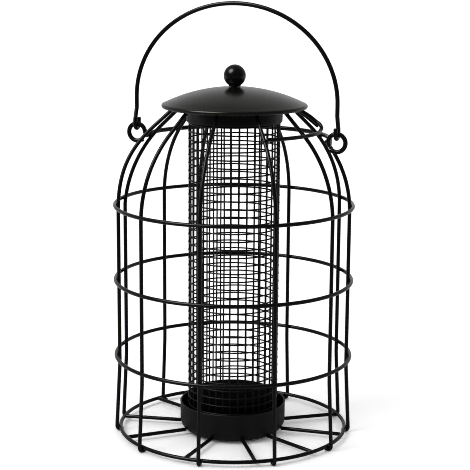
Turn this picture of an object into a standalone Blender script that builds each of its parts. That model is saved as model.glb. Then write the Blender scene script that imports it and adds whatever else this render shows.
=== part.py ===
"""Peanut feeder inside a domed wire cage, with a lift-off lid and a swinging wire handle."""

import math

import bmesh
import bpy
from mathutils import Vector

# Clearances
contact_gap = 0.0003
running_gap = 0.0005
merge_distance = 0.000001

# Wires and sheet
wire_radius = 0.0012
wire_pitch = 2 * wire_radius + contact_gap
sheet = 0.0008

# Six-sided wires lie on the floor on a flat side
flat_share = math.cos(math.radians(30))
floor_wire_height = wire_radius * flat_share

# Band round the head of the mesh tube, from which the tube, the crown and the lid take their height
band_top_height = 0.2383
band_height = 0.0143
band_bottom_height = band_top_height - band_height
tube_radius = 0.0323
tube_wire = 0.0008
band_inner_radius = tube_radius + contact_gap
band_radius = band_inner_radius + sheet

# Cage hoops and uprights
cage_outer_radius = 0.085
hoop_radius = cage_outer_radius - wire_radius
upright_radius = hoop_radius - wire_pitch
upright_bearings = (-161.6, -140.3, -105.6, -85.4, -50.1, -16.0, 19.8, 54.8, 109.9, 149.3)
cut_upright_bearing = 85.2

# Shoulder and crown of the uprights, angles taken from upright; the crown ends beside the band
dome_bend_radius = 0.0795
dome_bend_angle = 46.0
crown_reach = 0.0094
crown_bend_radius = 0.018
crown_bend_angle = 70.0
crown_drop = 0.0015
upright_end_gap = 0.0016
upright_end_radius = band_radius + upright_end_gap
crown_start_radius = band_radius + crown_reach
crown_end_height = band_top_height - crown_drop
slope = math.radians(dome_bend_angle)
crown_slope = math.radians(crown_bend_angle)
dome_bend_end_radius = upright_radius - dome_bend_radius * (1 - math.cos(slope))
crown_bend_end_radius = crown_start_radius - crown_bend_radius * (math.cos(slope) - math.cos(crown_slope))
dome_rise = dome_bend_radius * math.sin(slope)
slope_rise = (dome_bend_end_radius - crown_start_radius) / math.tan(slope)
crown_bend_rise = crown_bend_radius * (math.sin(crown_slope) - math.sin(slope))
crown_end_rise = (crown_bend_end_radius - upright_end_radius) / math.tan(crown_slope)
dome_spring_height = crown_end_height - crown_end_rise - crown_bend_rise - slope_rise - dome_rise
hoop_height_shares = (0.2424, 0.4747, 0.6998)

# Two uprights at the left lean back over the shoulder, and one of them is bent out a little:
# change of bearing from the hoop to the crown and bulge of the shoulder, by number
shoulder_leans = {3: -14.0, 4: -15.0}
shoulder_bulges = {4: 0.0013}

# Ring that joins the upper ends of the uprights round the band
top_ring_radius = band_radius + contact_gap + wire_radius

# Feet, which curl in under the base ring
foot_spread = 0.0026
foot_radius = upright_radius + foot_spread
foot_tip_length = 0.0020
lean_start_share = 0.2111
base_ring_radius = foot_radius - wire_pitch
base_ring_height = floor_wire_height + wire_pitch
base_ring_steps = 40
foot_tip_radius = base_ring_radius - foot_tip_length

# Tray with a deeply rounded bottom corner
tray_margin = 0.0055
tray_radius = tube_radius + tray_margin
tray_rim_height = 0.022
tray_bottom_height = 0.001
tray_corner_radius = 0.008
tray_flat_radius = tray_radius - tray_corner_radius
tray_corner_height = tray_bottom_height + tray_corner_radius

# Base wires from the tray's corner out to the base ring, level with the ring
spoke_bearings = (-135.1, -100.5, -66.9, -23.7, 11.0, 42.7, 73.4, 106.3, 150.0, 187.5)
spoke_top_height = base_ring_height + floor_wire_height
spoke_drop = tray_corner_height - spoke_top_height
spoke_inner_radius = tray_flat_radius + math.sqrt(tray_corner_radius**2 - spoke_drop**2) + contact_gap
spoke_outer_radius = base_ring_radius * math.cos(math.pi / base_ring_steps) - wire_radius - contact_gap

# Mesh tube, which stands in the tray's rounded corner, and the raised floor inside it
seat_rise = math.sqrt((tray_corner_radius - sheet) ** 2 - (tube_radius - tray_flat_radius) ** 2)
tube_bottom_height = tray_corner_height - seat_rise + contact_gap
tube_top_height = band_top_height - sheet
tube_uprights = 20
tube_rows = 13
tube_clear_radius = (tube_radius - tube_wire) * math.cos(math.pi / tube_uprights)
floor_plate_rise = 0.0058
floor_plate_height = tray_rim_height + floor_plate_rise
floor_plate_radius = tube_clear_radius - contact_gap
floor_plate_corner_radius = 0.0015

# Shoulder wire with its two eyelets, and the handle that hangs in them
eyelet_wire_radius = 0.0014
shoulder_weld_drop = 0.0263
shoulder_weld_height = crown_end_height - shoulder_weld_drop
hinge_bearing = 69.5
eyelet_reach = 0.0076
eyelet_rise = 0.0005
eyelet_radius = 0.00615
eyelet_start_angle = 175.0
eyelet_end_angle = -105.0
eyelet_tail_length = 0.0034
eyelet_lead_in = 13.5
eyelet_bend_radius = 0.0028
handle_wire_radius = 0.0014
handle_clearance = 0.043
handle_arc_share = 0.7715
hook_radius = eyelet_wire_radius + handle_wire_radius + running_gap
hook_tip_length = 0.0042
hook_neck_height = 0.003
hook_neck_offset_share = 0.94
hook_shoulder_height = 0.0075
hook_shoulder_offset_share = 0.45
hook_leg_height = 0.012

# Brace wire at the front right and the cut end that lies beside it: bearing, reach beyond
# the band, and drop below the crown's end
brace_start_bearing = 20.5
brace_weld_drop = 0.0199
brace_route = (
    (76.0, 0.0269, 0.0177),
    (80.5, 0.0274, 0.0158),
    (82.5, 0.0258, 0.0135),
    (84.0, 0.0231, 0.0117),
    (85.2, 0.0190, 0.0086),
    (85.2, 0.0138, 0.0054),
    (84.2, 0.0076, 0.0020),
    (82.8, 0.0021, 0.0),
)
brace_level_bearing = 70.0
stub_bearing = 88.6
stub_lower_reach = 0.0231
stub_lower_drop = 0.0143
stub_bend_reach = 0.0138
stub_bend_drop = 0.0069

# Lid, knob, sleeve and nut
lid_overhang = 0.01735
lid_radius = band_radius + lid_overhang
lid_bead_radius = 0.0015
lid_bead_drop = 0.0033
lid_height = 0.013
lid_sheet = 0.0009
stud_radius = 0.0018
stud_hole_radius = 0.0022
stud_drop = 0.005
knob_radius = 0.0077
knob_neck_height = 0.00095
knob_neck_radius = 0.0042
nut_radius = 0.0039
nut_height = 0.0026
nut_hole_radius = 0.0021
sleeve_skirt_height = 0.0123
sleeve_radius = tube_clear_radius - running_gap
sleeve_bottom_height = band_top_height - sleeve_skirt_height
sleeve_step_height = band_top_height + contact_gap
sleeve_step_radius = band_radius - contact_gap
lid_bead_height = band_top_height - lid_bead_drop
lid_apex_height = lid_bead_height + lid_height
lid_bead_centre_radius = lid_radius - lid_bead_radius
lid_rise = lid_height - lid_bead_radius
lid_sphere_radius = (lid_bead_centre_radius**2 + lid_rise**2) / (2 * lid_rise)
stud_bottom_height = lid_apex_height - stud_drop
knob_neck_bottom = lid_apex_height + contact_gap
knob_cut_height = math.sqrt(knob_radius**2 - knob_neck_radius**2)
knob_centre_height = knob_neck_bottom + knob_neck_height + knob_cut_height

# Finish: matt black powder coat
coat_colour = (0.012, 0.012, 0.013, 1.0)
lid_colour = (0.022, 0.022, 0.023, 1.0)
coat_roughness = 0.42
lid_roughness = 0.55
coat_metallic = 0.0


def clear_scene():
    for item in list(bpy.data.objects):
        bpy.data.objects.remove(item, do_unlink=True)


def new_empty(name, place, yaw=0.0):
    empty = bpy.data.objects.new(name, None)
    empty.location = place
    empty.rotation_euler = (0.0, 0.0, yaw)
    bpy.context.scene.collection.objects.link(empty)
    return empty


def powder_coat(piece, colour=coat_colour, roughness=coat_roughness):
    material = bpy.data.materials.new(piece.name + " coat")
    material.use_nodes = True
    shader = material.node_tree.nodes["Principled BSDF"]
    shader.inputs["Base Color"].default_value = colour
    shader.inputs["Roughness"].default_value = roughness
    shader.inputs["Metallic"].default_value = coat_metallic
    material.diffuse_color = colour
    piece.data.materials.append(material)


def place_piece(name, data, parent):
    piece = bpy.data.objects.new(name, data)
    piece.parent = parent
    bpy.context.scene.collection.objects.link(piece)
    return piece


def bent_wire(name, points, radius, parent, closed=False, round_steps=1):
    """A round wire along the points; its corners lie level and its flat sides face up and down."""
    curve = bpy.data.curves.new(name, "CURVE")
    curve.dimensions = "3D"
    curve.twist_mode = "Z_UP" if closed else "MINIMUM"
    curve.bevel_depth = radius
    curve.bevel_resolution = round_steps
    curve.use_fill_caps = not closed
    spline = curve.splines.new("POLY")
    spline.points.add(len(points) - 1)
    for knot, point in zip(spline.points, points):
        knot.co = (*point, 1.0)
    spline.use_cyclic_u = closed
    spline.use_smooth = True
    piece = place_piece(name, curve, parent)
    powder_coat(piece)
    return piece


def arc(centre, radius, start, end, steps):
    """Points in the plane of the outline, from one angle to the other in degrees."""
    points = []
    for step in range(steps + 1):
        angle = math.radians(start + (end - start) * step / steps)
        points.append((centre[0] + radius * math.cos(angle), centre[1] + radius * math.sin(angle)))
    return points


def outward(bearing):
    """Bearings are in degrees from the front, positive to the right as seen from the front."""
    angle = math.radians(bearing)
    return Vector((math.sin(angle), -math.cos(angle), 0.0))


def at_bearing(bearing, radius, height):
    return outward(bearing) * radius + Vector((0.0, 0.0, height))


def ring_points(radius, height, steps):
    return [at_bearing(360.0 * step / steps, radius, height) for step in range(steps)]


def smooth_route(points, steps):
    """A Catmull-Rom curve through the points, which starts and ends at the outer two."""
    padded = [points[0] * 2 - points[1], *points, points[-1] * 2 - points[-2]]
    route = []
    for before, start, end, after in zip(padded, padded[1:], padded[2:], padded[3:]):
        for step in range(steps):
            t = step / steps
            linear = (end - before) * t
            square = (before * 2 - start * 5 + end * 4 - after) * t**2
            cube = (start * 3 - before - end * 3 + after) * t**3
            route.append(start + (linear + square + cube) / 2)
    route.append(points[-1])
    return route


def turned(name, outline, steps, parent, closed_outline=True, colour=coat_colour, roughness=coat_roughness):
    """Spins an outline of (radius, height) points once round the upright axis."""
    shape = bmesh.new()
    corners = [shape.verts.new((radius, 0.0, height)) for radius, height in outline]
    pairs = list(zip(corners, corners[1:]))
    if closed_outline:
        pairs.append((corners[-1], corners[0]))
    edges = [shape.edges.new(pair) for pair in pairs]
    bmesh.ops.spin(
        shape,
        geom=corners + edges,
        cent=(0.0, 0.0, 0.0),
        axis=(0.0, 0.0, 1.0),
        angle=math.tau,
        steps=steps,
        use_merge=True,
    )
    bmesh.ops.remove_doubles(shape, verts=shape.verts, dist=merge_distance)
    bmesh.ops.recalc_face_normals(shape, faces=shape.faces)
    if shape.calc_volume(signed=True) < 0:
        bmesh.ops.reverse_faces(shape, faces=shape.faces)
    mesh = bpy.data.meshes.new(name)
    shape.to_mesh(mesh)
    shape.free()
    mesh.shade_smooth()
    mesh.set_sharp_from_angle(angle=math.radians(40))
    piece = place_piece(name, mesh, parent)
    powder_coat(piece, colour, roughness)
    return piece


def dome_outline(end_angle=dome_bend_angle):
    """The upright's centreline over the shoulder, before the crown."""
    centre = (upright_radius - dome_bend_radius, dome_spring_height)
    return arc(centre, dome_bend_radius, 0.0, end_angle, 10)


def on_dome(height):
    """Radius and tilt of the upright's centreline at a height on its bend or straight slope."""
    rise = height - dome_spring_height
    if rise > dome_rise:
        return dome_bend_end_radius - (rise - dome_rise) * math.tan(slope), slope
    tilt = math.asin(max(0.0, rise) / dome_bend_radius)
    return upright_radius - dome_bend_radius * (1 - math.cos(tilt)), tilt


def crown_outline():
    """The straight slope's end and the flatter crown, up to the wire's inner end."""
    bend_end_height = crown_end_height - crown_end_rise
    centre_radius = crown_start_radius - crown_bend_radius * math.cos(slope)
    centre_height = bend_end_height - crown_bend_radius * math.sin(crown_slope)
    bend = arc((centre_radius, centre_height), crown_bend_radius, dome_bend_angle, crown_bend_angle, 2)
    return [*bend, (upright_end_radius, crown_end_height)]


def foot_outline():
    """The foot's tip, the curl round the base ring, and the lean in to the hoops."""
    centre = (base_ring_radius, base_ring_height)
    curl = arc(centre, wire_pitch, -90.0, 0.0, 3)
    lean_start = (upright_radius, crown_end_height * lean_start_share)
    return [(foot_tip_radius, floor_wire_height), *curl, lean_start]


def make_uprights(cage):
    """The bulge fades at the hoop and at the crown; the lean grows evenly with height."""
    outline = [*foot_outline(), *dome_outline(), *crown_outline()]
    for number, bearing in enumerate(upright_bearings, start=1):
        lean = shoulder_leans.get(number, 0.0)
        bulge = shoulder_bulges.get(number, 0.0)
        points = []
        for radius, height in outline:
            share = (height - dome_spring_height) / (crown_end_height - dome_spring_height)
            share = min(max(share, 0.0), 1.0)
            bent_radius = radius + bulge * math.sin(math.pi * share) ** 2
            points.append(at_bearing(bearing + lean * share, bent_radius, height))
        bent_wire(f"upright_{number:02d}", points, wire_radius, cage)


def make_cut_upright(cage):
    """The one upright that stops at the shoulder wire."""
    cut_height = shoulder_weld_height + wire_radius
    cut_radius, cut_tilt = on_dome(cut_height)
    outline = [*foot_outline(), *dome_outline(math.degrees(cut_tilt))[:-1], (cut_radius, cut_height)]
    points = [at_bearing(cut_upright_bearing, radius, height) for radius, height in outline]
    bent_wire("upright_cut", points, wire_radius, cage)


def make_hoops(cage):
    for number, share in enumerate(hoop_height_shares, start=1):
        height = crown_end_height * share
        points = ring_points(on_dome(height)[0] + wire_pitch, height, 40)
        bent_wire(f"hoop_{number}", points, wire_radius, cage, closed=True)


def make_base_ring(cage):
    points = ring_points(base_ring_radius, base_ring_height, base_ring_steps)
    bent_wire("base_ring", points, wire_radius, cage, closed=True)


def make_top_ring(cage):
    """The ring lies under the inner ends of the uprights."""
    line_height = crown_end_height - (top_ring_radius - upright_end_radius) / math.tan(crown_slope)
    drop = wire_pitch / math.sin(crown_slope)
    points = ring_points(top_ring_radius, line_height - drop, 24)
    bent_wire("top_ring", points, wire_radius, cage, closed=True)


def make_spokes(cage):
    """Straight wires, welded at one end to the tray and at the other to the base ring."""
    for number, bearing in enumerate(spoke_bearings, start=1):
        inner = at_bearing(bearing, spoke_inner_radius, base_ring_height)
        outer = at_bearing(bearing, spoke_outer_radius, base_ring_height)
        bent_wire(f"spoke_{number:02d}", [inner, outer], wire_radius, cage)


def weld_point(height, other_radius):
    """Centre of a level wire that lies against the outside of the sloping uprights."""
    offset = wire_radius + other_radius + contact_gap
    radius, tilt = on_dome(height)
    return radius + offset * math.cos(tilt), height + offset * math.sin(tilt)


def eyelet_centre():
    ring_radius, ring_height = weld_point(shoulder_weld_height, eyelet_wire_radius)
    return ring_radius + eyelet_reach, ring_height + eyelet_rise


def hinge_height():
    """The handle hangs from the top of the eyelets' centreline."""
    return eyelet_centre()[1] + eyelet_radius


def right_end():
    """From the ring round the shoulder out to the right-hand eyelet and round its coil."""
    ring_radius, ring_height = weld_point(shoulder_weld_height, eyelet_wire_radius)
    out = outward(hinge_bearing)
    along = outward(hinge_bearing + 90.0)
    coil = []
    for radius, height in arc(eyelet_centre(), eyelet_radius, eyelet_start_angle, eyelet_end_angle, 16):
        coil.append(out * radius + Vector((0.0, 0.0, height)))
    tail_angle = math.radians(eyelet_end_angle)
    tail = out * math.sin(tail_angle) - Vector((0.0, 0.0, math.cos(tail_angle)))
    coil.append(coil[-1] + tail * eyelet_tail_length)
    start_radius = (out.dot(coil[0]), coil[0].z - eyelet_bend_radius)
    bend = out * start_radius[0] + along * eyelet_bend_radius + Vector((0.0, 0.0, start_radius[1]))
    middle_bearing = hinge_bearing + eyelet_lead_in / 2
    middle = at_bearing(middle_bearing, (ring_radius + start_radius[0]) / 2, (ring_height + bend.z) / 2)
    ring_end = at_bearing(hinge_bearing + eyelet_lead_in, ring_radius, ring_height)
    ring_before = at_bearing(hinge_bearing + eyelet_lead_in * 2, ring_radius, ring_height)
    lead = smooth_route([ring_before, ring_end, middle, bend, coil[0]], 3)
    return lead[:-1] + coil


def make_shoulder_wire(cage):
    """Half a ring round the back of the shoulder, each end coiled into an eyelet."""
    ring_radius, ring_height = weld_point(shoulder_weld_height, eyelet_wire_radius)
    first = hinge_bearing + eyelet_lead_in * 2
    last = hinge_bearing + 180.0 - eyelet_lead_in * 2
    steps = 14
    back = []
    for step in range(1, steps):
        back.append(at_bearing(first + (last - first) * step / steps, ring_radius, ring_height))
    right = right_end()
    out = outward(hinge_bearing)
    left = [point - out * (2 * out.dot(point)) for point in right]
    bent_wire("shoulder_wire", [*reversed(right), *back, *left], eyelet_wire_radius, cage)


def make_brace(cage):
    """Runs level across two uprights, then turns up and in beside the cut end to the top ring."""
    radius, height = weld_point(crown_end_height - brace_weld_drop, wire_radius)
    steps = 9
    points = []
    for step in range(steps + 1):
        bearing = brace_start_bearing + (brace_level_bearing - brace_start_bearing) * step / steps
        points.append(at_bearing(bearing, radius, height))
    turn = [points.pop()]
    for bearing, reach, drop in brace_route:
        turn.append(at_bearing(bearing, band_radius + reach, crown_end_height - drop))
    bent_wire("brace_wire", points + smooth_route(turn, 3), wire_radius, cage)


def make_upright_stub(cage):
    """The upper end of the cut upright, from the top ring down beside the brace."""
    crown = crown_outline()
    stops = [
        at_bearing(stub_bearing, *crown[-1]),
        at_bearing(stub_bearing, *crown[-2]),
        at_bearing(stub_bearing, band_radius + stub_bend_reach, crown_end_height - stub_bend_drop),
        at_bearing(stub_bearing, band_radius + stub_lower_reach, crown_end_height - stub_lower_drop),
    ]
    bent_wire("upright_stub", smooth_route(stops, 3), wire_radius, cage)


def make_tray(cage):
    """A pressed cup with a rounded bottom corner, held just off the floor by the base wires."""
    centre = (tray_flat_radius, tray_corner_height)
    inner = arc(centre, tray_corner_radius - sheet, -90.0, 0.0, 5)
    outer = arc(centre, tray_corner_radius, -90.0, 0.0, 5)
    inner_wall = (tray_radius - sheet, tray_rim_height)
    outer_wall = (tray_radius, tray_rim_height)
    outline = [(0.0, tray_bottom_height + sheet), *inner, inner_wall, outer_wall]
    outline += [*reversed(outer), (0.0, tray_bottom_height)]
    turned("tray", outline, 32, cage, closed_outline=False)


def make_floor_plate(cage):
    """An upturned cup that lifts the nuts to where a beak can reach them."""
    bottom = tube_bottom_height
    centre = (floor_plate_radius - floor_plate_corner_radius, floor_plate_height - floor_plate_corner_radius)
    outer = arc(centre, floor_plate_corner_radius, 0.0, 90.0, 3)
    inner = arc(centre, floor_plate_corner_radius - sheet, 0.0, 90.0, 2)
    outline = [(0.0, floor_plate_height - sheet), *reversed(inner)]
    outline += [(floor_plate_radius - sheet, bottom), (floor_plate_radius, bottom)]
    outline += [*outer, (0.0, floor_plate_height)]
    turned("floor_plate", outline, 28, cage, closed_outline=False)


def make_top_band(cage):
    """A sheet band round the tube's head, its upper and lower edges turned in."""
    foot = arc((band_inner_radius, band_bottom_height + sheet), sheet, -90.0, 0.0, 3)
    head = arc((band_inner_radius, band_top_height - sheet), sheet, 0.0, 90.0, 3)
    turned("top_band", [*foot, *head], 32, cage)


def make_mesh_tube(cage):
    """Square wire mesh rolled into a tube, at a coarser pitch than the real one."""
    wire_angle = tube_wire / tube_radius
    pitch_angle = math.tau / tube_uprights
    row_pitch = (tube_top_height - tube_bottom_height - tube_wire) / (tube_rows - 1)
    shape = bmesh.new()
    columns = []
    for column in range(tube_uprights):
        for edge_angle in (0.0, wire_angle):
            angle = column * pitch_angle + edge_angle
            stack = []
            for row in range(tube_rows):
                for edge_height in (0.0, tube_wire):
                    height = tube_bottom_height + row * row_pitch + edge_height
                    x = tube_radius * math.cos(angle)
                    y = tube_radius * math.sin(angle)
                    stack.append(shape.verts.new((x, y, height)))
            columns.append(stack)
    for left in range(len(columns)):
        right = (left + 1) % len(columns)
        for low in range(len(columns[left]) - 1):
            if left % 2 == 1 and low % 2 == 1:
                continue
            corners = (columns[left][low], columns[right][low], columns[right][low + 1], columns[left][low + 1])
            shape.faces.new(corners)
    mesh = bpy.data.meshes.new("mesh_tube")
    shape.to_mesh(mesh)
    shape.free()
    piece = place_piece("mesh_tube", mesh, cage)
    thickness = piece.modifiers.new("wire thickness", "SOLIDIFY")
    thickness.thickness = tube_wire
    thickness.offset = -1.0
    thickness.use_even_offset = True
    powder_coat(piece)


def lid_surface(radius, drop=0.0):
    """Height of the lid's spherical top at a radius, or of its underside with drop set to the sheet."""
    sphere = lid_sphere_radius - drop
    centre_height = lid_apex_height - lid_sphere_radius
    return centre_height + math.sqrt(sphere**2 - radius**2)


def make_lid(carrier):
    """A shallow dome of sheet with a rolled rim and a hole for the knob's stud."""
    steps = 8
    span = lid_bead_centre_radius - stud_hole_radius
    top = []
    for step in range(steps):
        radius = stud_hole_radius + span * step / steps
        top.append((radius, lid_surface(radius)))
    bead = arc((lid_bead_centre_radius, lid_bead_height), lid_bead_radius, 90.0, -200.0, 9)
    under_span = lid_bead_centre_radius - lid_bead_radius - stud_hole_radius
    under = []
    for step in range(steps):
        radius = stud_hole_radius + under_span * step / steps
        under.append((radius, lid_surface(radius, lid_sheet)))
    outline = [*top, *bead, *reversed(under)]
    seated = [(radius, height - lid_bead_height) for radius, height in outline]
    turned("lid", seated, 36, carrier, colour=lid_colour, roughness=lid_roughness)


def make_knob(carrier):
    """A ball with a short neck and the stud that goes down through the lid."""
    neck_angle = -math.degrees(math.acos(knob_neck_radius / knob_radius))
    ball = arc((0.0, knob_centre_height), knob_radius, neck_angle, 90.0, 9)
    ball[-1] = (0.0, knob_centre_height + knob_radius)
    outline = [(0.0, stud_bottom_height), (stud_radius, stud_bottom_height), (stud_radius, knob_neck_bottom)]
    outline += [(knob_neck_radius, knob_neck_bottom), *ball]
    seated = [(radius, height - lid_bead_height) for radius, height in outline]
    turned("knob", seated, 20, carrier, closed_outline=False, colour=lid_colour, roughness=lid_roughness)


def make_lid_sleeve(carrier):
    """A stepped ring under the lid: the step rests on the band and the skirt drops into the tube."""
    inner = sleeve_radius - sheet
    shoulder = sleeve_step_height + sheet
    top = lid_surface(sleeve_step_radius, lid_sheet) - contact_gap
    outline = [
        (inner, sleeve_bottom_height),
        (sleeve_radius, sleeve_bottom_height),
        (sleeve_radius, sleeve_step_height),
        (sleeve_step_radius, sleeve_step_height),
        (sleeve_step_radius, top),
        (sleeve_step_radius - sheet, top),
        (sleeve_step_radius - sheet, shoulder),
        (inner, shoulder),
    ]
    seated = [(radius, height - lid_bead_height) for radius, height in outline]
    turned("lid_sleeve", seated, 28, carrier)


def make_lid_nut(carrier):
    """The nut that holds the knob's stud under the lid."""
    top = lid_surface(nut_radius, lid_sheet) - contact_gap
    outline = [
        (nut_hole_radius, top - nut_height),
        (nut_radius, top - nut_height),
        (nut_radius, top),
        (nut_hole_radius, top),
    ]
    seated = [(radius, height - lid_bead_height) for radius, height in outline]
    turned("lid_nut", seated, 12, carrier)


def make_handle(hinge):
    """The wire handle, drawn about the hinge: across is along the hinge, rise is above it."""
    half_width = eyelet_centre()[0]
    knob_top = knob_centre_height + knob_radius
    top = knob_top + handle_clearance - handle_wire_radius - hinge_height()
    arc_rise = top * handle_arc_share
    hook = []
    for side, rise in arc((0.0, 0.0), hook_radius, 180.0, 360.0, 8):
        hook.append(Vector((half_width, side, rise)))
    tip = Vector((half_width, -hook_radius, hook_tip_length))
    neck = Vector((half_width, hook_radius * hook_neck_offset_share, hook_neck_height))
    shoulder = Vector((half_width, hook_radius * hook_shoulder_offset_share, hook_shoulder_height))
    leg = Vector((half_width, 0.0, hook_leg_height))
    right = [tip, *hook[:-1], *smooth_route([hook[-1], neck, shoulder, leg], 2)]
    steps = 22
    over = []
    for step in range(steps + 1):
        angle = math.pi * step / steps
        across = half_width * math.cos(angle)
        over.append(Vector((across, 0.0, top - arc_rise + arc_rise * math.sin(angle))))
    left = [Vector((-point.x, -point.y, point.z)) for point in reversed(right)]
    bent_wire("handle", [*right, *over, *left], handle_wire_radius, hinge, round_steps=2)


def build():
    clear_scene()
    cage = new_empty("cage", (0.0, 0.0, 0.0))
    lid_lift = new_empty("lid_lift", (0.0, 0.0, lid_bead_height))
    hinge = new_empty("handle_hinge", (0.0, 0.0, hinge_height()), math.radians(hinge_bearing - 90.0))
    make_uprights(cage)
    make_cut_upright(cage)
    make_hoops(cage)
    make_base_ring(cage)
    make_top_ring(cage)
    make_spokes(cage)
    make_shoulder_wire(cage)
    make_brace(cage)
    make_upright_stub(cage)
    make_tray(cage)
    make_floor_plate(cage)
    make_mesh_tube(cage)
    make_top_band(cage)
    make_lid(lid_lift)
    make_knob(lid_lift)
    make_lid_sleeve(lid_lift)
    make_lid_nut(lid_lift)
    make_handle(hinge)


build()
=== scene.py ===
import math
import random

import bpy
from mathutils import Matrix, Vector


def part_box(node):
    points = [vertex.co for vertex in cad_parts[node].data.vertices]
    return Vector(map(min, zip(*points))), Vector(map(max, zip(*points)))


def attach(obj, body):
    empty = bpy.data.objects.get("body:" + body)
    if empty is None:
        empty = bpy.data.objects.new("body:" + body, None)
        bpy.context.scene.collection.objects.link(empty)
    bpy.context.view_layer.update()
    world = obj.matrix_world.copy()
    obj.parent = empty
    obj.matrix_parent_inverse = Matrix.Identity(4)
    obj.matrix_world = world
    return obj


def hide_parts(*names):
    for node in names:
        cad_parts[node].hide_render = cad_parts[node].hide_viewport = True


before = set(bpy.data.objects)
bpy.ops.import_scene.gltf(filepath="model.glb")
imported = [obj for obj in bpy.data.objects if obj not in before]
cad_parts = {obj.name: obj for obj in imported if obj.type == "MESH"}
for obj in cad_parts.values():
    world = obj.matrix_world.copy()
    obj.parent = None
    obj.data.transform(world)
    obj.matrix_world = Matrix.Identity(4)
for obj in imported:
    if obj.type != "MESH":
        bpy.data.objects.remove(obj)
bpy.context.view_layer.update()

# The camera stands about a metre in front of the feeder and a third of a metre up, and looks a
# little down at it through a long lens.
camera = bpy.data.objects.new("camera", bpy.data.cameras.new("camera"))
bpy.context.scene.collection.objects.link(camera)
bpy.context.scene.camera = camera
camera.data.sensor_width = 36.0
camera.data.lens = 110.12
camera.data.shift_x = 0.0104
camera.data.shift_y = 0.0435
camera_place = Matrix.Translation((-0.00248, -0.99601, 0.34627))
looking_down = Matrix.Rotation(math.pi / 2 - 0.2152, 4, "X")
rolled_a_little = Matrix.Rotation(0.006, 4, "Z")
camera.matrix_world = camera_place @ looking_down @ rolled_a_little
bpy.context.scene.view_settings.view_transform = "Standard"
bpy.context.scene.cycles.filter_width = 1.0

# The studio floor is a wide sheet of matt white, which shows white to the camera and keeps the
# feeder's soft shadow.
floor_reach = 40.0
floor_mesh = bpy.data.meshes.new("studio_floor")
floor_corners = [(-floor_reach, -floor_reach, 0.0), (floor_reach, -floor_reach, 0.0)]
floor_corners += [(floor_reach, floor_reach, 0.0), (-floor_reach, floor_reach, 0.0)]
floor_mesh.from_pydata(floor_corners, [], [(0, 1, 2, 3)])
studio_floor = bpy.data.objects.new("studio_floor", floor_mesh)
bpy.context.scene.collection.objects.link(studio_floor)
floor_paint = bpy.data.materials.new("floor_paint")
floor_paint.use_nodes = True
nodes = floor_paint.node_tree.nodes
nodes.clear()
links = floor_paint.node_tree.links
seen_by = nodes.new("ShaderNodeLightPath")
floor_place = nodes.new("ShaderNodeNewGeometry")
floor_parts = nodes.new("ShaderNodeSeparateXYZ")
# Seen only in the coat's reflections, the floor is painted dark at the front and paler towards the
# back: painted shade standing in for the studio's dark front.
painted_shade_front_to_back = nodes.new("ShaderNodeMapRange")
painted_shade_front_to_back.interpolation_type = "SMOOTHSTEP"
painted_shade_front_to_back.inputs["From Min"].default_value = -0.60
painted_shade_front_to_back.inputs["From Max"].default_value = 0.50
painted_shade_front_to_back.inputs["To Min"].default_value = 0.12
painted_shade_front_to_back.inputs["To Max"].default_value = 0.72
floor_mirrored = nodes.new("ShaderNodeMix")
floor_mirrored.data_type = "RGBA"
floor_mirrored.inputs["A"].default_value = (0.80, 0.80, 0.80, 1.0)
floor_white = nodes.new("ShaderNodeMix")
floor_white.data_type = "RGBA"
floor_white.inputs["B"].default_value = (1.60, 1.60, 1.60, 1.0)
floor_diffuse = nodes.new("ShaderNodeBsdfDiffuse")
floor_out = nodes.new("ShaderNodeOutputMaterial")
links.new(floor_place.outputs["Position"], floor_parts.inputs["Vector"])
links.new(floor_parts.outputs["Y"], painted_shade_front_to_back.inputs["Value"])
links.new(painted_shade_front_to_back.outputs["Result"], floor_mirrored.inputs["B"])
links.new(seen_by.outputs["Is Glossy Ray"], floor_mirrored.inputs["Factor"])
links.new(floor_mirrored.outputs["Result"], floor_white.inputs["A"])
links.new(seen_by.outputs["Is Camera Ray"], floor_white.inputs["Factor"])
links.new(floor_white.outputs["Result"], floor_diffuse.inputs["Color"])
links.new(floor_diffuse.outputs["BSDF"], floor_out.inputs["Surface"])
studio_floor.data.materials.append(floor_paint)

# The studio's light: an even pale room with a bright backdrop, and one large soft lamp high at
# the front left. The coat mirrors the backdrop brightly, the ceiling less and the dark front
# hardly, and a second lamp at the same place gives only the lamp's shine on the coat.
room = bpy.data.worlds.new("room")
bpy.context.scene.world = room
room.use_nodes = True
room.cycles.sampling_method = "NONE"
nodes = room.node_tree.nodes
nodes.clear()
links = room.node_tree.links
seen_by = nodes.new("ShaderNodeLightPath")
direction = nodes.new("ShaderNodeTexCoord")
direction_parts = nodes.new("ShaderNodeSeparateXYZ")
front_to_back = nodes.new("ShaderNodeMapRange")
front_to_back.inputs["From Min"].default_value = -1.0
mirrored_room = nodes.new("ShaderNodeValToRGB")
mirrored_room.color_ramp.interpolation = "EASE"
mirrored_room.color_ramp.elements[0].color = (0.04, 0.04, 0.04, 1.0)
mirrored_room.color_ramp.elements[1].color = (0.70, 0.70, 0.70, 1.0)
for place, level in ((0.30, 0.064), (0.50, 0.16), (0.72, 0.24), (0.90, 0.40)):
    mirrored_room.color_ramp.elements.new(place).color = (level, level, level, 1.0)
by_reflection = nodes.new("ShaderNodeMix")
by_reflection.inputs["A"].default_value = 0.64
by_camera = nodes.new("ShaderNodeMix")
by_camera.inputs["B"].default_value = 1.0
room_light = nodes.new("ShaderNodeBackground")
room_light.inputs["Color"].default_value = (1.0, 1.0, 1.0, 1.0)
room_out = nodes.new("ShaderNodeOutputWorld")
links.new(direction.outputs["Generated"], direction_parts.inputs["Vector"])
links.new(direction_parts.outputs["Y"], front_to_back.inputs["Value"])
links.new(front_to_back.outputs["Result"], mirrored_room.inputs["Fac"])
links.new(mirrored_room.outputs["Color"], by_reflection.inputs["B"])
links.new(seen_by.outputs["Is Glossy Ray"], by_reflection.inputs["Factor"])
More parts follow.
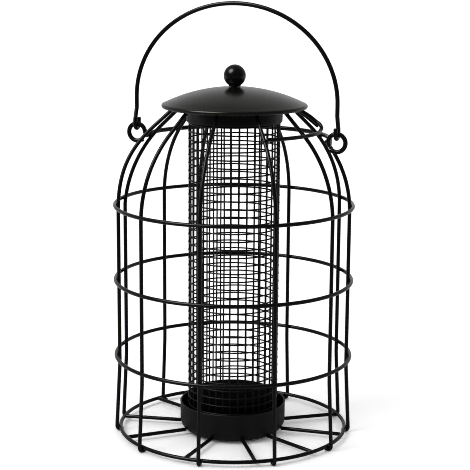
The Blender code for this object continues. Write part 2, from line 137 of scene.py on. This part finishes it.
links.new(by_reflection.outputs["Result"], by_camera.inputs["A"])
links.new(seen_by.outputs["Is Camera Ray"], by_camera.inputs["Factor"])
links.new(by_camera.outputs["Result"], room_light.inputs["Strength"])
links.new(room_light.outputs["Background"], room_out.inputs["Surface"])
toward_lamp = Vector((-0.585, -0.328, 0.741))
lamps = (("soft_lamp", 0.70, 26, True), ("lamp_shine", 2.0, 42, False))
for name, energy, width, lights_the_paint in lamps:
    lamp_data = bpy.data.lights.new(name, "SUN")
    lamp_data.energy = energy
    lamp_data.angle = math.radians(width)
    lamp = bpy.data.objects.new(name, lamp_data)
    lamp.visible_diffuse = lights_the_paint
    lamp.rotation_mode = "QUATERNION"
    lamp.rotation_quaternion = toward_lamp.to_track_quat("Z", "Y")
    bpy.context.scene.collection.objects.link(lamp)

# The uprights are drawn steel wires, 2.7 mm through with their coat. Each is bent at the foot,
# runs up the cage, and comes in over the shoulder and the flat crown to the band.
wire = 0.00135
cage_radius = 0.0812
foot_tip = 0.0790
foot_bend = 0.0027
base_ring_radius = 0.0810
base_ring_height = 0.00374
lean_end = 0.0500
straight_middle = 0.11
shoulder_start = 0.16157
shoulder_bend = 0.0795
slope = 46.0
crown_start = (0.0428, 0.23231)
crown_bend = 0.018
crown_slope = 70.0
crown_tip = (0.0350, 0.2368)
upright_bearings = {"upright_01": -161.6, "upright_02": -140.3, "upright_03": -105.6}
upright_bearings |= {"upright_04": -85.4, "upright_05": -50.1, "upright_06": -16.0}
upright_bearings |= {"upright_07": 19.8, "upright_08": 54.8, "upright_09": 109.9}
upright_bearings |= {"upright_10": 149.3, "upright_cut": 85.2}
shoulder_leans = {"upright_03": -14.0, "upright_04": -15.0}
shoulder_bulges = {"upright_04": 0.0013}
cut_end = (0.06315, 0.2117)
last_before_cut = (0.062, 0.2095)


def powder_coat(
    name, colour, roughness, specular, grain=1500.0, grain_height=0.00006, tint=None, wear=0.08
):
    """Black powder coat: uneven in tone, faintly pebbled, and a little polished in scattered
    patches.
    """
    coat = bpy.data.materials.new(name)
    coat.use_nodes = True
    nodes = coat.node_tree.nodes
    links = coat.node_tree.links
    shader = nodes["Principled BSDF"]
    shader.inputs["Specular IOR Level"].default_value = specular
    if tint:
        shader.inputs["Specular Tint"].default_value = tint
    place = nodes.new("ShaderNodeTexCoord")
    clouds = nodes.new("ShaderNodeTexNoise")
    clouds.inputs["Scale"].default_value = 45.0
    clouds.inputs["Detail"].default_value = 4.0
    tone = nodes.new("ShaderNodeMix")
    tone.data_type = "RGBA"
    unevenness = 3.5 * wear
    for end, level in (("A", 1.0 - unevenness), ("B", 1.0 + unevenness)):
        tone.inputs[end].default_value = (*[part * level for part in colour], 1.0)
    rubbed = nodes.new("ShaderNodeTexNoise")
    rubbed.inputs["Scale"].default_value = 210.0
    rubbed.inputs["Detail"].default_value = 2.0
    gloss = nodes.new("ShaderNodeMapRange")
    gloss.inputs["From Min"].default_value = 0.30
    gloss.inputs["From Max"].default_value = 0.72
    gloss.inputs["To Min"].default_value = roughness + wear
    gloss.inputs["To Max"].default_value = roughness - wear
    pebbles = nodes.new("ShaderNodeTexNoise")
    pebbles.inputs["Scale"].default_value = grain
    pebbles.inputs["Detail"].default_value = 3.0
    relief = nodes.new("ShaderNodeBump")
    relief.inputs["Strength"].default_value = 0.5
    relief.inputs["Distance"].default_value = grain_height
    for pattern in (clouds, rubbed, pebbles):
        links.new(place.outputs["Object"], pattern.inputs["Vector"])
    links.new(clouds.outputs["Fac"], tone.inputs["Factor"])
    links.new(tone.outputs["Result"], shader.inputs["Base Color"])
    links.new(rubbed.outputs["Fac"], gloss.inputs["Value"])
    links.new(gloss.outputs["Result"], shader.inputs["Roughness"])
    links.new(pebbles.outputs["Fac"], relief.inputs["Height"])
    links.new(relief.outputs["Normal"], shader.inputs["Normal"])
    return coat


def outward(bearing):
    """Level direction at a bearing, in degrees from the front and positive to the right."""
    angle = math.radians(bearing)
    return Vector((math.sin(angle), -math.cos(angle), 0.0))


def at(bearing, radius, height):
    """The place at a bearing, a distance from the upright axis and a height."""
    return outward(bearing) * radius + Vector((0.0, 0.0, height))


def bend(centre, radius, start, end, steps):
    """Points of a bend in the plane of an outline, from one angle to the other in degrees."""
    points = []
    for step in range(steps + 1):
        angle = math.radians(start + (end - start) * step / steps)
        points.append((centre[0] + radius * math.cos(angle), centre[1] + radius * math.sin(angle)))
    return points


def made_piece(name, corners, faces, coat, crease=35.0):
    """A piece of the feeder, smooth but for its edges sharper than the crease in degrees."""
    mesh = bpy.data.meshes.new(name)
    mesh.from_pydata(corners, [], faces)
    mesh.shade_smooth()
    mesh.set_sharp_from_angle(angle=math.radians(crease))
    mesh.materials.append(coat)
    piece = bpy.data.objects.new(name, mesh)
    bpy.context.scene.collection.objects.link(piece)
    return piece


def wire_skin(path, radius, closed, sides, first):
    """Corners and faces of one round wire along a path; cut ends are softened by the coat."""
    end_insets_and_shares = ((0.35, 1.0), (0.10, 0.90), (0.0, 0.68))
    count = len(path)
    sections = []
    side = None
    for index, point in enumerate(path):
        before = path[index - 1] if index or closed else point
        after = path[(index + 1) % count] if index + 1 < count or closed else point
        along = (after - before).normalized()
        if side is None:
            side = Vector((0.0, 0.0, 1.0)) if abs(along.z) < 0.9 else Vector((1.0, 0.0, 0.0))
        side = (side - along * side.dot(along)).normalized()
        sections.append((point, side, along.cross(side), radius, along))
    if not closed:
        start = sections.pop(0)
        end = sections.pop()
        for inset, share in end_insets_and_shares:
            start_place = start[0] + start[4] * radius * inset
            end_place = end[0] - end[4] * radius * inset
            sections.insert(0, (start_place, start[1], start[2], radius * share))
            sections.append((end_place, end[1], end[2], radius * share))
    corners = []
    for section in sections:
        for turn in range(sides):
            angle = math.tau * turn / sides
            reach = section[1] * math.cos(angle) + section[2] * math.sin(angle)
            corners.append(section[0] + reach * section[3])
    faces = []
    last = len(sections) if closed else len(sections) - 1
    for row in range(last):
        low = first + row * sides
        high = first + (row + 1) % len(sections) * sides
        for turn in range(sides):
            beside = (turn + 1) % sides
            faces.append((low + turn, low + beside, high + beside, high + turn))
    if not closed:
        for row, order in ((0, -1), (len(sections) - 1, 1)):
            ring = [first + row * sides + turn for turn in range(sides)]
            faces.append(tuple(ring[::order]))
    return corners, faces


def drawn_wires(name, paths, radius, coat, closed=False, sides=16):
    """One piece made of round wires, one along each path."""
    corners, faces = [], []
    for path in paths:
        more_corners, more_faces = wire_skin(path, radius, closed, sides, len(corners))
        corners += more_corners
        faces += more_faces
    return made_piece(name, corners, faces, coat, 50.0)


def upright_outline():
    """Radius and height along an upright, from the tip of its foot to its end at the band."""
    outline = [(foot_tip, wire)]
    for radius, height in bend((base_ring_radius, base_ring_height), foot_bend, -90.0, 0.0, 8):
        outline.append((radius, max(height, wire)))
    for lean, climb in ((0.00018, -0.0030), (0.00003, 0.0010), (0.0, 0.0050)):
        outline.append((cage_radius + lean, lean_end + climb))
    outline.append((cage_radius, straight_middle))
    outline += bend((cage_radius - shoulder_bend, shoulder_start), shoulder_bend, 0.0, slope, 20)
    turn = math.radians(slope)
    centre_radius = crown_start[0] - crown_bend * math.cos(turn)
    centre_height = crown_start[1] - crown_bend * math.sin(turn)
    outline += bend((centre_radius, centre_height), crown_bend, slope, crown_slope, 6)
    outline.append(crown_tip)
    return outline


cage_coat = powder_coat("cage_coat", (0.0036, 0.0036, 0.0038), 0.22, 0.26, wear=0.05)
for node, bearing in upright_bearings.items():
    outline = upright_outline()
    if node == "upright_cut":
        least_radius, most_height = last_before_cut
        outline = [stop for stop in outline if stop[0] > least_radius and stop[1] < most_height]
        outline.append(cut_end)
    path = []
    for radius, height in outline:
        share = min(max((height - shoulder_start) / (crown_tip[1] - shoulder_start), 0.0), 1.0)
        bulge = shoulder_bulges.get(node, 0.0) * math.sin(math.pi * share) ** 2
        path.append(at(bearing + shoulder_leans.get(node, 0.0) * share, radius + bulge, height))
    upright = drawn_wires(node + "_wire", [path], wire, cage_coat)
    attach(upright, "cage")
    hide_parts(node)

# Three hoops of the same wire go round the outside of the uprights, and a fourth ring, a little
# smaller, lies inside their feet. Each is bent from one length and butt welded.
hoop_radius = 0.08365
hoops = {"hoop_1": (hoop_radius, 0.0574), "hoop_2": (hoop_radius, 0.11241)}
hoops |= {"hoop_3": (0.08355, 0.16571), "base_ring": (base_ring_radius, base_ring_height)}
hoop_steps = 120
for node, (radius, height) in hoops.items():
    path = [at(360.0 * step / hoop_steps, radius, height) for step in range(hoop_steps)]
    hoop = drawn_wires(node + "_wire", [path], wire, cage_coat, closed=True)
    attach(hoop, "cage")
    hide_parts(node)

# A small ring of wire under the uprights' inner ends joins them round the band.
top_ring_low, top_ring_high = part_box("top_ring")
top_ring_height = (top_ring_low.z + top_ring_high.z) / 2
top_ring_radius = 0.0349
top_ring_steps = 72
path = []
for step in range(top_ring_steps):
    path.append(at(360.0 * step / top_ring_steps, top_ring_radius, top_ring_height))
top_ring = drawn_wires("top_ring_wire", [path], wire, cage_coat, closed=True)
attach(top_ring, "cage")
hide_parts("top_ring")

# Ten straight base wires run out from the tray's rounded corner to the base ring, cut from the
# same wire and welded at both ends.
spoke_bearings = (-135.1, -100.5, -66.9, -23.7, 11.0, 42.7, 73.4, 106.3, 150.0, 187.5)
spoke_stops = (0.0362, 0.0500, 0.0650, 0.0799)
for number, bearing in enumerate(spoke_bearings, start=1):
    node = f"spoke_{number:02d}"
    path = [at(bearing, radius, base_ring_height) for radius in spoke_stops]
    spoke = drawn_wires(node + "_wire", [path], wire, cage_coat)
    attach(spoke, "cage")
    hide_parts(node)

# The shoulder wire is a slightly thicker one. It runs round the back of the cage on the sloping
# uprights, and each of its ends is turned out and coiled into an eyelet for the handle.
thick_wire = 0.00158
hinge_bearing = 69.5
eyelet_centre = (0.07415, 0.21279)
eyelet_radius = 0.00615
coil_start, coil_end = 175.0, -105.0
coil_tail = 0.0034
elbow_bend = 0.0028
shoulder_ring = (0.06655, 0.21229)
lead_in = 13.5


def smooth_route(points, steps):
    """A soft curve through the points, which starts and ends at the outer two."""
    padded = [points[0] * 2 - points[1], *points, points[-1] * 2 - points[-2]]
    route = []
    for before, start, end, after in zip(padded, padded[1:], padded[2:], padded[3:]):
        for step in range(steps):
            t = step / steps
            linear = (end - before) * t
            square = (before * 2 - start * 5 + end * 4 - after) * t**2
            cube = (start * 3 - before - end * 3 + after) * t**3
            route.append(start + (linear + square + cube) / 2)
    route.append(points[-1])
    return route


hinge_out = outward(hinge_bearing)
hinge_along = outward(hinge_bearing + 90.0)
coil = []
for radius, height in bend(eyelet_centre, eyelet_radius, coil_start, coil_end, 40):
    coil.append(hinge_out * radius + Vector((0.0, 0.0, height)))
tail_turn = math.radians(coil_end)
tail = hinge_out * math.sin(tail_turn) - Vector((0.0, 0.0, math.cos(tail_turn)))
coil += [coil[-1] + tail * (coil_tail / 2), coil[-1] + tail * coil_tail]
elbow_radius = hinge_out.dot(coil[0])
elbow_height = coil[0].z - elbow_bend
elbow = hinge_out * elbow_radius + hinge_along * elbow_bend
elbow += Vector((0.0, 0.0, elbow_height))
halfway_radius = (shoulder_ring[0] + elbow_radius) / 2
halfway_height = (shoulder_ring[1] + elbow_height) / 2
halfway = at(hinge_bearing + lead_in / 2, halfway_radius, halfway_height)
ring_end = at(hinge_bearing + lead_in, *shoulder_ring)
ring_before = at(hinge_bearing + lead_in * 2, *shoulder_ring)
right_end = smooth_route([ring_before, ring_end, halfway, elbow, coil[0]], 7)[:-1] + coil
left_end = [point - hinge_out * (2 * hinge_out.dot(point)) for point in right_end]
round_the_back = []
back_steps = 48
for step in range(1, back_steps):
    bearing = hinge_bearing + lead_in * 2 + (180.0 - lead_in * 4) * step / back_steps
    round_the_back.append(at(bearing, *shoulder_ring))
path = [*reversed(right_end), *round_the_back, *left_end]
shoulder = drawn_wires("shoulder_wire_wire", [path], thick_wire, cage_coat)
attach(shoulder, "cage")
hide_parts("shoulder_wire")

# At the front right a brace wire lies across two uprights, then turns up beside the cut upright
# and in to the small ring. The cut upright's upper part lies next to it.
brace_ring = (0.06063, 0.21878)
brace_start, brace_turn, brace_steps = 20.5, 49.5, 24
level_part = []
for step in range(brace_steps + 1):
    level_part.append(at(brace_start + brace_turn * step / brace_steps, *brace_ring))
rising_part = [level_part.pop()]
rising_part += [at(76.0, 0.0603, 0.2191), at(80.5, 0.0608, 0.2210), at(82.5, 0.0592, 0.2233)]
rising_part += [at(84.0, 0.0565, 0.2251), at(85.2, 0.0524, 0.2282), at(85.2, 0.0472, 0.2314)]
rising_part += [at(84.2, 0.0410, 0.2348), at(82.8, 0.0355, 0.2368)]
brace = drawn_wires("brace_wire_wire", [level_part + smooth_route(rising_part, 6)], wire, cage_coat)
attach(brace, "cage")
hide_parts("brace_wire")
stub_bearing = 88.6
stub_outline = (crown_tip, (0.03645, 0.23627), (0.0472, 0.2299), (0.0583, 0.2210))
stub_stops = [at(stub_bearing, radius, height) for radius, height in stub_outline]
stub = drawn_wires("upright_stub_wire", [smooth_route(stub_stops, 7)], wire, cage_coat)
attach(stub, "cage")
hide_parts("upright_stub")

# Every crossing is spot welded before the cage is coated, which leaves a small rounded nugget
# between the wires and a soft fillet of coat over it.
shoulder_weld = (shoulder_ring[0] - 0.0012, shoulder_ring[1] - 0.0009, 38.0)
brace_weld = (brace_ring[0] - 0.0009, brace_ring[1] - 0.0009, 44.0)
crown_weld = (0.0352, top_ring_height + 0.0014, 70.0)
foot_weld = (base_ring_radius + wire, base_ring_height, 0.0)
spoke_welds = ((0.0797, base_ring_height, 90.0), (0.0366, base_ring_height + 0.0004, 60.0))
weld_places = []
for node, bearing in upright_bearings.items():
    for hoop in ("hoop_1", "hoop_2", "hoop_3"):
        weld_places.append((bearing, hoop_radius - wire, hoops[hoop][1], 0.0))
    weld_places.append((bearing, *foot_weld))
    if node != "upright_cut":
        weld_places.append((bearing + shoulder_leans.get(node, 0.0), *crown_weld))
for node in ("upright_cut", "upright_09", "upright_10", "upright_01", "upright_02"):
    weld_places.append((upright_bearings[node], *shoulder_weld))
for node in ("upright_07", "upright_08"):
    weld_places.append((upright_bearings[node], *brace_weld))
for bearing in spoke_bearings:
    weld_places += [(bearing, *weld) for weld in spoke_welds]
nugget_width = 0.00128
nugget_height = 0.0009
nugget_unevenness = 0.07
nugget_sides = 10
nugget_rings = 5
random.seed(4)
corners, faces = [], []
for bearing, radius, height, tilt in weld_places:
    first = len(corners)
    lift = math.radians(tilt)
    out = outward(bearing) * math.cos(lift) + Vector((0, 0, 1)) * math.sin(lift)
    level = outward(bearing + 90.0)
    rise = out.cross(level)
    for ring in range(1, nugget_rings + 1):
        polar = math.pi * ring / (nugget_rings + 1)
        for turn in range(nugget_sides):
            angle = math.tau * turn / nugget_sides
            swell = 1.0 + random.uniform(-nugget_unevenness, nugget_unevenness)
            flat = math.sin(polar) * nugget_width * swell
            spot = out * (math.cos(polar) * nugget_height)
            spot += (level * math.cos(angle) + rise * math.sin(angle)) * flat
            corners.append(at(bearing, radius, height) + spot)
    for ring in range(nugget_rings - 1):
        low = first + ring * nugget_sides
        high = low + nugget_sides
        for turn in range(nugget_sides):
            beside = (turn + 1) % nugget_sides
            faces.append((low + turn, low + beside, high + beside, high + turn))
    last = first + (nugget_rings - 1) * nugget_sides
    faces.append(tuple(first + turn for turn in reversed(range(nugget_sides))))
    faces.append(tuple(last + turn for turn in range(nugget_sides)))
welds = made_piece("weld_nuggets", corners, faces, cage_coat, 80.0)
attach(welds, "cage")

# The tray is a pressed steel cup with a deeply rounded bottom corner and a folded rim, coated
# with the cage. The tube stands in it.
tray_coat = powder_coat("tray_coat", (0.0045, 0.0045, 0.0045), 0.46, 0.28, 900.0, 0.00004)


def turned(name, outline, coat, closed=True, steps=120, crease=35.0):
    """Sheet metal spun round the upright axis; the outline gives radius and height."""
    corners, faces, rows = [], [], []
    for radius, height in outline:
        if radius < 1e-6:
            rows.append([len(corners)])
            corners.append((0.0, 0.0, height))
            continue
        rows.append([len(corners) + step for step in range(steps)])
        for step in range(steps):
            corners.append(at(360.0 * step / steps, radius, height))
    pairs = list(zip(rows, rows[1:]))
    if closed:
        pairs.append((rows[-1], rows[0]))
    for low, high in pairs:
        for step in range(steps):
            beside = (step + 1) % steps
            if len(low) == 1:
                faces.append((low[0], high[step], high[beside]))
            elif len(high) == 1:
                faces.append((low[step], high[0], low[beside]))
            else:
                faces.append((low[step], high[step], high[beside], low[beside]))
    return made_piece(name, corners, faces, coat, crease)


sheet = 0.0008
tray_radius = 0.0378
tray_corner = (0.0298, 0.0090)
tray_inner_bend, tray_outer_bend = 0.0072, 0.0080
tray_inside = bend(tray_corner, tray_inner_bend, -90.0, 0.0, 12)
tray_outside = bend(tray_corner, tray_outer_bend, -90.0, 0.0, 12)
rim_fold = 0.0006
rim = bend((tray_radius - 0.0004, 0.0214), rim_fold, 200.0, -20.0, 9)
outline = [(0.0, 0.0018), *tray_inside, (0.0370, 0.0208), *rim]
outline += [(tray_radius, 0.0206), *reversed(tray_outside), (0.0, 0.0010)]
tray = turned("tray_cup", outline, tray_coat, closed=False)
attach(tray, "cage")
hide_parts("tray")

# Inside the tube a plain upturned cup, also pressed from sheet, lifts the nuts to where a beak
# can reach them.
lifter_radius = 0.0308
lifter_top = 0.0278
lifter_foot = 0.0026
lifter_corner = (0.0293, 0.0263)
lifter_inner_bend, lifter_outer_bend = 0.0007, 0.0015
lifter_inside = bend(lifter_corner, lifter_inner_bend, 0.0, 90.0, 4)
outline = [(0.0, lifter_top - sheet), *reversed(lifter_inside)]
outline += [(0.0300, lifter_foot), (lifter_radius, lifter_foot)]
outline += [*bend(lifter_corner, lifter_outer_bend, 0.0, 90.0, 6), (0.0, lifter_top)]
# The cup's coat is painted near black and dull, much darker than the other coats: painted shade for
# the dark inside of the tube.
lifter_coat_painted_shade = powder_coat("lifter_coat_painted_shade", (0.0011, 0.0011, 0.0011), 0.85, 0.02)
lifter = turned("floor_cup", outline, lifter_coat_painted_shade, closed=False)
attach(lifter, "cage")
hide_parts("floor_plate")

# The nut tube is a strip of welded square mesh, 1.1 mm wire at 5.6 mm, rolled by hand and lapped
# one square at the right. The upright wires lie inside the level ones, and none is quite true.
mesh_wire = 0.00054
mesh_radius = 0.03176
mesh_low, mesh_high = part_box("mesh_tube")
mesh_upright_bearings = (
    -133.3, -123.1, -112.8, -102.5, -92.4, -82.3, -72.1, -62.0, -51.5, -41.5, -31.7, -21.7, -12.4,
    -4.0, 6.0, 16.0, 26.4, 35.3, 45.8, 55.5, 62.0, 69.6, 77.1, 84.2, 90.8, 98.2, 106.0, 113.9,
    121.8, 132.5, 144.8, 152.3, 162.6, 173.5, 184.6, 197.1, 207.5, 217.6,
)
lapped_bearings = (80.6, 87.6, 94.4)
upright_inset, lapped_inset = 0.0002, 0.0012
upright_sway = 0.5
upright_steps = 24
row_steps, lap_steps = 96, 12
row_start, row_turn, row_slack = 74.0, 378.0, 1.5
row_pitch = 0.00563
row_dip = 0.00025
lap_inset, lap_climb = 0.0011, 0.0005
mesh_coat = powder_coat("mesh_coat", (0.0034, 0.0034, 0.0036), 0.38, 0.22, 2600.0, 0.00003)
mesh_paths = []
for bearing in mesh_upright_bearings + lapped_bearings:
    sway = random.uniform(-upright_sway, upright_sway)
    phase = random.uniform(0.0, math.tau)
    inner = mesh_radius - (lapped_inset if bearing in lapped_bearings else upright_inset)
    path = []
    for step in range(upright_steps + 1):
        height = mesh_low.z + 0.0002 + (mesh_high.z - mesh_low.z - 0.0004) * step / upright_steps
        wander = sway * math.sin(step * 0.33 + phase)
        path.append(at(bearing + wander, inner, height))
    mesh_paths.append(path)
row_height = 0.0037
while row_height < mesh_high.z - 0.0005:
    start = row_start + random.uniform(-row_slack, row_slack)
    turn = row_turn + random.uniform(-row_slack, row_slack)
    dip = random.uniform(-row_dip, row_dip)
    path = []
    for step in range(row_steps + 1):
        bearing = start + turn * step / row_steps
        lap = max(0.0, (step - (row_steps - lap_steps)) / lap_steps)
        radius = mesh_radius - lap_inset * lap
        wave = dip * math.sin(math.radians(bearing * 2)) + lap_climb * lap
        path.append(at(bearing, radius, row_height + wave))
    mesh_paths.append(path)
    row_height += row_pitch
nut_tube = drawn_wires("nut_tube_mesh", mesh_paths, mesh_wire, mesh_coat, sides=8)
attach(nut_tube, "cage")
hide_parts("mesh_tube")

# The band is a strip of sheet rolled round the tube's head, with both edges turned in, and has
# the roughest coat on the feeder.
# The band's coat is painted darker than the other coats: painted shade for the shadow of the lid
# above it.
band_coat_painted_shade = powder_coat("band_coat_painted_shade", (0.0010, 0.0010, 0.0010), 0.44, 0.34, 1300.0, 0.00022)
band_low, band_high = 0.2240, 0.2383
band_inside, band_outside, band_swell = 0.0326, 0.03352, 0.03356
band_edge, band_flat = 0.0008, 0.0035
outline = bend((band_inside, band_low + band_edge), band_edge, -90.0, -10.0, 5)
outline += [(band_outside, band_low + band_flat), (band_swell, (band_low + band_high) / 2)]
outline += [(band_outside, band_high - band_flat)]
outline += bend((band_inside, band_high - band_edge), band_edge, 10.0, 90.0, 5)
band = turned("head_band", outline, band_coat_painted_shade)
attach(band, "cage")
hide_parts("top_band")

# The lid is a shallow dome spun from sheet. Its edge is rolled under into a round bead, and it has
# a hole for the knob's stud.
lid_tint = (1.0, 1.0, 0.94, 1.0)
lid_coat = powder_coat(
    "lid_coat", (0.0052, 0.0051, 0.0047), 0.26, 0.42, 900.0, 0.00001, tint=lid_tint, wear=0.02
)
lid_apex = 0.2480
bead_centre = (0.04925, 0.2350)
bead = 0.0015
stud_hole = 0.0022
lid_sheet = 0.0009
edge_above, edge_below = 0.0486, 0.0470
lid_steps = 22
lid_rise = 0.0115
lid_sphere = (bead_centre[0] ** 2 + lid_rise**2) / (2 * lid_rise)


def lid_height(radius, drop=0.0):
    """Height of the dome at a distance from its centre; the drop gives its underside."""
    return lid_apex - lid_sphere + math.sqrt((lid_sphere - drop) ** 2 - radius**2)


outline = []
for step in range(lid_steps + 1):
    radius = stud_hole + (edge_above - stud_hole) * step / lid_steps
    outline.append((radius, lid_height(radius)))
outline += bend(bead_centre, bead, 58.0, -200.0, 26)
for step in reversed(range(lid_steps + 1)):
    radius = stud_hole + (edge_below - stud_hole) * step / lid_steps
    outline.append((radius, lid_height(radius, lid_sheet)))
lid = turned("lid_dome", outline, lid_coat, steps=160, crease=50.0)
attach(lid, "lid")
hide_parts("lid")

# The knob is a turned ball on a short neck, coated with the lid. Its threaded stud goes down
# through the lid.
knob_coat = powder_coat(
    "knob_coat", (0.0038, 0.0038, 0.0038), 0.21, 0.34, 1200.0, 0.00001, wear=0.03
)
knob_centre = 0.2557
knob_radius = 0.0077
outline = [(0.0, 0.2430), (0.0015, 0.2430)]
crest, root, thread_pitch = 0.0018, 0.00155, 0.0006
thread, thread_end = 0.2433, 0.2478
while thread < thread_end:
    outline += [(crest, thread), (crest, thread + 0.0001), (root, thread + 0.00035)]
    thread += thread_pitch
outline += [(crest, 0.2481), (crest, 0.2483)]
outline += [(0.0040, 0.2483), (0.0042, 0.2485), (0.0042, 0.2489)]
outline += bend((0.0, knob_centre), knob_radius, -55.5, 88.0, 30)
outline.append((0.0, knob_centre + knob_radius))
knob = turned("lid_knob", outline, knob_coat, closed=False, steps=72)
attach(knob, "lid")
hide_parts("knob")

# Under the lid a stepped ring of sheet rests on the band and drops into the tube, and a nut on
# the stud draws the knob down.
sleeve_radius = 0.03061
sleeve_inside = 0.02981
outline = [(sleeve_inside, 0.2262), (0.02991, 0.2260), (0.03051, 0.2260), (sleeve_radius, 0.2262)]
outline += [(sleeve_radius, 0.2386), (0.0329, 0.2386), (0.0331, 0.2388), (0.0331, 0.2410)]
outline += [(0.0323, 0.2410), (0.0323, 0.2396), (0.0321, 0.2394), (sleeve_inside, 0.2394)]
sleeve = turned("lid_sleeve_ring", outline, tray_coat, steps=96)
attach(sleeve, "lid")
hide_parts("lid_sleeve")
nut_low, nut_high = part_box("lid_nut")
nut_reach, nut_bore, nut_chamfer = 0.0039, 0.0021, 0.0003
chamfer_share = 0.84
nut_sides = 24
nut_step = 360.0 / nut_sides
corners, faces = [], []
for chamfered, height in (
    (True, nut_low.z),
    (False, nut_low.z + nut_chamfer),
    (False, nut_high.z - nut_chamfer),
    (True, nut_high.z),
):
    for corner in range(nut_sides):
        off_flat = math.radians((corner * nut_step) % 60 - 30)
        hexagon = math.cos(math.radians(30)) / math.cos(off_flat)
        share = chamfer_share if chamfered else hexagon
        corners.append(at(corner * nut_step, nut_reach * share, height))
for height in (nut_high.z, nut_low.z):
    corners += [at(corner * nut_step, nut_bore, height) for corner in range(nut_sides)]
rings = len(corners) // nut_sides
for row in range(rings):
    low, high = row * nut_sides, (row + 1) % rings * nut_sides
    for corner in range(nut_sides):
        beside = (corner + 1) % nut_sides
        faces.append((low + corner, low + beside, high + beside, high + corner))
nut = made_piece("stud_nut", corners, faces, cage_coat, 25.0)
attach(nut, "lid")
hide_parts("lid_nut")

# The handle is one length of 3 mm wire, bent to a round arch whose legs end in open hooks. They
# hang in the eyelets and let it swing.
handle_wire = 0.0015
handle_half_width = eyelet_centre[0]
hinge_height = 0.218935
hook = 0.0033
feeder_height = 0.3064
handle_top = feeder_height - handle_wire - hinge_height
arch_rise = 0.0664
arch_steps = 72
hook_turn = []
for side, rise in bend((0.0, 0.0), hook, 180.0, 360.0, 18):
    hook_turn.append(Vector((handle_half_width, side, rise)))
tip = [Vector((handle_half_width, -hook, 0.0042)), Vector((handle_half_width, -hook, 0.0020))]
neck = Vector((handle_half_width, hook * 0.94, 0.003))
hook_shoulder = Vector((handle_half_width, hook * 0.45, 0.0075))
leg = Vector((handle_half_width, 0.0, 0.012))
right_leg = [*tip, *hook_turn[:-1], *smooth_route([hook_turn[-1], neck, hook_shoulder, leg], 5)]
arch = []
for step in range(arch_steps + 1):
    angle = math.pi * step / arch_steps
    rise = handle_top - arch_rise + arch_rise * math.sin(angle)
    arch.append(Vector((handle_half_width * math.cos(angle), 0.0, rise)))
left_leg = [Vector((-point.x, -point.y, point.z)) for point in reversed(right_leg)]
hinge_turn = Matrix.Rotation(math.radians(hinge_bearing - 90.0), 4, "Z")
to_hinge = Matrix.Translation((0.0, 0.0, hinge_height)) @ hinge_turn
path = [to_hinge @ point for point in [*right_leg, *arch, *left_leg]]
handle_coat = powder_coat("handle_coat", (0.0038, 0.0038, 0.0040), 0.22, 0.28, wear=0.05)
handle = drawn_wires("handle_wire_bail", [path], handle_wire, handle_coat, sides=20)
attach(handle, "handle")
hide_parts("handle")
